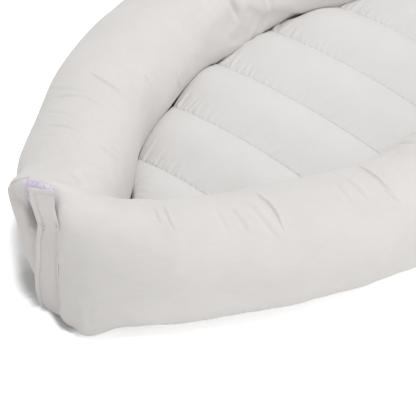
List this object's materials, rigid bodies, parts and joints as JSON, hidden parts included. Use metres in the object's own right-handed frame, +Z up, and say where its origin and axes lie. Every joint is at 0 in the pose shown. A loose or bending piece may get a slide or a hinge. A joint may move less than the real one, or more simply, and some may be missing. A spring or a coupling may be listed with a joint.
{
  "type": "infant lounger",
  "caption": "Teardrop-shaped infant lounger: a stuffed bolster round a channel-quilted pad, with a hook-and-loop closure at the pointed foot end.",
  "frame": {"origin": "middle of the whole lounger's box, on the surface it lies on", "axes": "+X across the lounger, +Y along it from the pointed foot end to the round head, +Z up"},
  "size_m": [0.47, 0.74, 0.161],
  "materials": {
    "cover_cotton": "plain-woven off-white cotton, matt, softly wrinkled over the filling",
    "quilt_cotton": "plain-woven off-white cotton, quilted in straight channels",
    "strip_cotton": "plain-woven off-white cotton, folded and topstitched",
    "inner_cotton": "light unbleached cotton lining",
    "base_cotton": "plain-woven cotton, pulled flat",
    "polyester_fibre": "white polyester fibre filling, matt",
    "hook_tape_nylon": "woven nylon tape with fine hooks, pale lilac",
    "loop_tape_nylon": "brushed nylon loop tape, pale lilac"
  },
  "bodies": {
    "lounger": {"bolster_cover": "cover_cotton", "insert_casing": "inner_cotton", "insert_fill": "polyester_fibre", "quilt_top": "quilt_cotton", "channel_fill_1": "polyester_fibre", "channel_fill_2": "polyester_fibre", "channel_fill_3": "polyester_fibre", "channel_fill_4": "polyester_fibre", "channel_fill_5": "polyester_fibre", "channel_fill_6": "polyester_fibre", "quilt_lining": "inner_cotton", "mattress_pad": "polyester_fibre", "base_panel": "base_cotton", "closure_underlap": "strip_cotton", "loop_tape": "loop_tape_nylon"},
    "flap": {"closure_flap": "strip_cotton", "hook_tape": "hook_tape_nylon"}
  },
  "joints": [
    {"name": "flap_hinge", "type": "hinge", "parent": "lounger", "child": "flap", "pos_m": [0.0025, -0.3652, 0.08], "axis": [0, 0, 1], "range_deg": [0, 110]}
  ]
}
